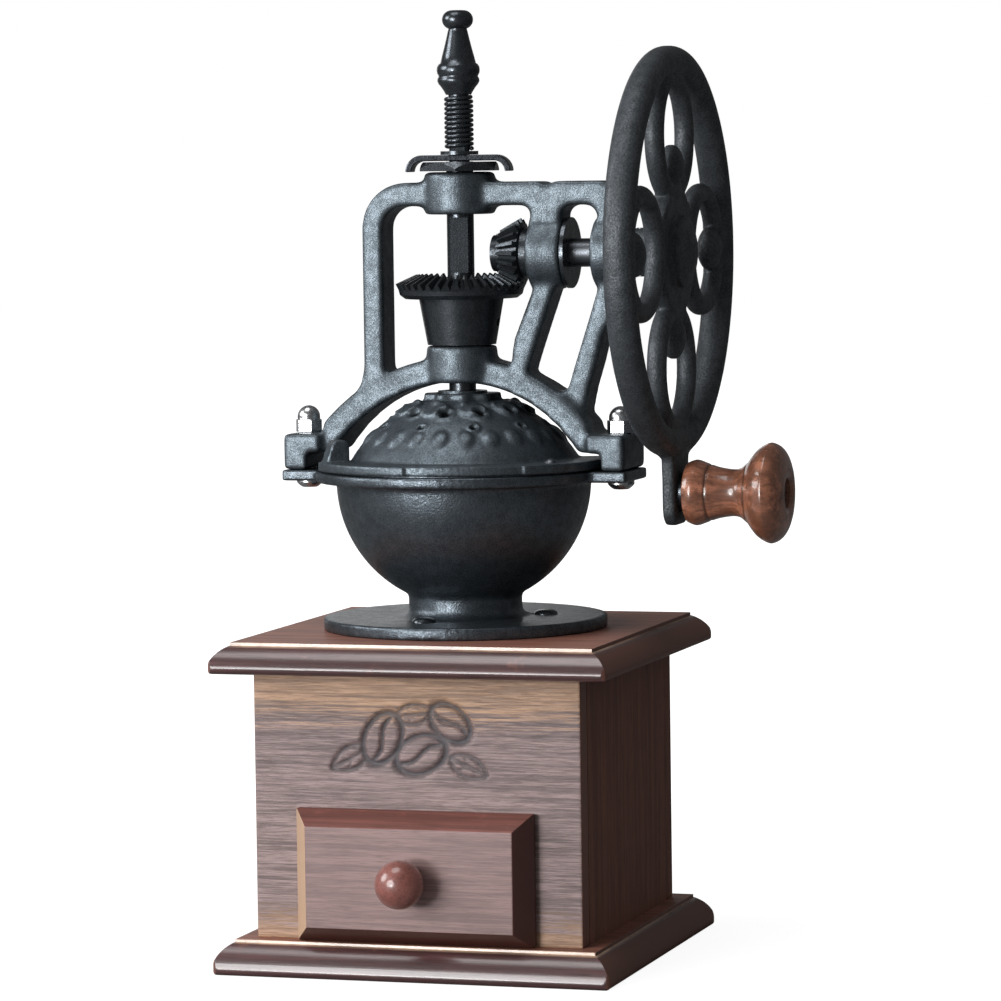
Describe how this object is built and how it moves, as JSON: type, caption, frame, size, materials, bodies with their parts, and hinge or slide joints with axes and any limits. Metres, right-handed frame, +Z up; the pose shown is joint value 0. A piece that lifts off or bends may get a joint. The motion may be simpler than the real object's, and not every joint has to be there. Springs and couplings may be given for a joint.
{
  "type": "manual coffee grinder",
  "caption": "Hand-cranked coffee grinder: wooden box with drawer, cast-iron bowl and domed lid, bridge with bevel gears, and a large side wheel with a turned wooden crank knob.",
  "frame": {"origin": "Centre of the base board's underside, on the vertical shaft's axis, at table height", "axes": "+Z up; -Y towards the viewer, where the drawer opens; +X to the wheel's side"},
  "size_m": [0.1785, 0.15, 0.3133],
  "materials": {
    "board_wood": "gloss",
    "panel_wood": "satin",
    "side_wood": "satin",
    "drawer_wood": "satin",
    "inner_wood": "matte",
    "knob_wood": "gloss",
    "crank_knob_wood": "gloss",
    "cast_paint": "satin",
    "dark_steel": "gloss",
    "plated": "gloss",
    "steel": "satin",
    "burr_iron": "matte"
  },
  "bodies": {
    "housing": {"base_board": "board_wood", "top_board": "board_wood", "box_front": "panel_wood", "box_back": "side_wood", "box_left": "side_wood", "box_right": "side_wood", "drawer_guides": "inner_wood", "base_screws": "steel", "top_dowels": "inner_wood", "bowl": "cast_paint", "bowl_screws": "dark_steel", "ring_burr": "burr_iron", "dome_lid": "cast_paint", "lid_screws": "dark_steel", "bridge": "cast_paint", "bridge_bolts": "plated", "acorn_nuts": "plated"},
    "drawer": {"drawer_front": "drawer_wood", "drawer_side_left": "inner_wood", "drawer_side_right": "inner_wood", "drawer_back": "inner_wood", "drawer_bottom": "inner_wood", "drawer_knob": "knob_wood", "knob_screw": "steel"},
    "lid": {"lid_cover": "cast_paint", "lid_rivet": "steel"},
    "wheel": {"flywheel": "cast_paint", "drive_shaft": "steel", "pinion": "dark_steel", "pinion_pin": "steel", "thrust_washer": "dark_steel", "wheel_washer": "steel", "wheel_pin": "steel", "handle_screw": "plated", "handle_washer": "steel"},
    "crank_knob": {"handle_knob": "crank_knob_wood"},
    "shaft": {"vertical_shaft": "dark_steel", "crown_gear": "dark_steel", "crown_pin": "steel", "cone_burr": "burr_iron", "burr_washer": "steel", "burr_screw": "steel", "top_knob": "dark_steel", "spring": "dark_steel"},
    "adjuster": {"adjusting_nut": "steel"},
    "lock": {"lock_plate": "steel", "spring_washer": "dark_steel"}
  },
  "joints": [
    {"name": "drawer_slide", "type": "slide", "parent": "housing", "child": "drawer", "axis": [0, -1, 0], "range_m": [0, 0.07]},
    {"name": "lid_turn", "type": "hinge", "parent": "housing", "child": "lid", "pos_m": [0, 0, 0.165], "axis": [0, 0, 1], "range_deg": [0, 100]},
    {"name": "wheel_spin", "type": "hinge", "parent": "housing", "child": "wheel", "pos_m": [0.04, 0, 0.233], "axis": [1, 0, 0], "continuous": true},
    {"name": "crank_knob_spin", "type": "hinge", "parent": "wheel", "child": "crank_knob", "pos_m": [0.09, 0, 0.1542], "axis": [1, 0, 0], "continuous": true},
    {"name": "shaft_spin", "type": "hinge", "parent": "housing", "child": "shaft", "pos_m": [0, 0, 0.2], "axis": [0, 0, 1], "continuous": true},
    {"name": "nut_turn", "type": "hinge", "parent": "shaft", "child": "adjuster", "pos_m": [0, 0, 0.2618], "axis": [0, 0, 1], "range_deg": [-300, 300]},
    {"name": "lock_lift", "type": "slide", "parent": "shaft", "child": "lock", "axis": [0, 0, 1], "range_m": [0, 0.005], "stiffness_N_per_m": 300, "springref_m": -0.004, "deforming": ["spring"]}
  ],
  "couplings": [
    {"joint": "shaft_spin", "follows": "wheel_spin", "ratio": 0.5}
  ]
}
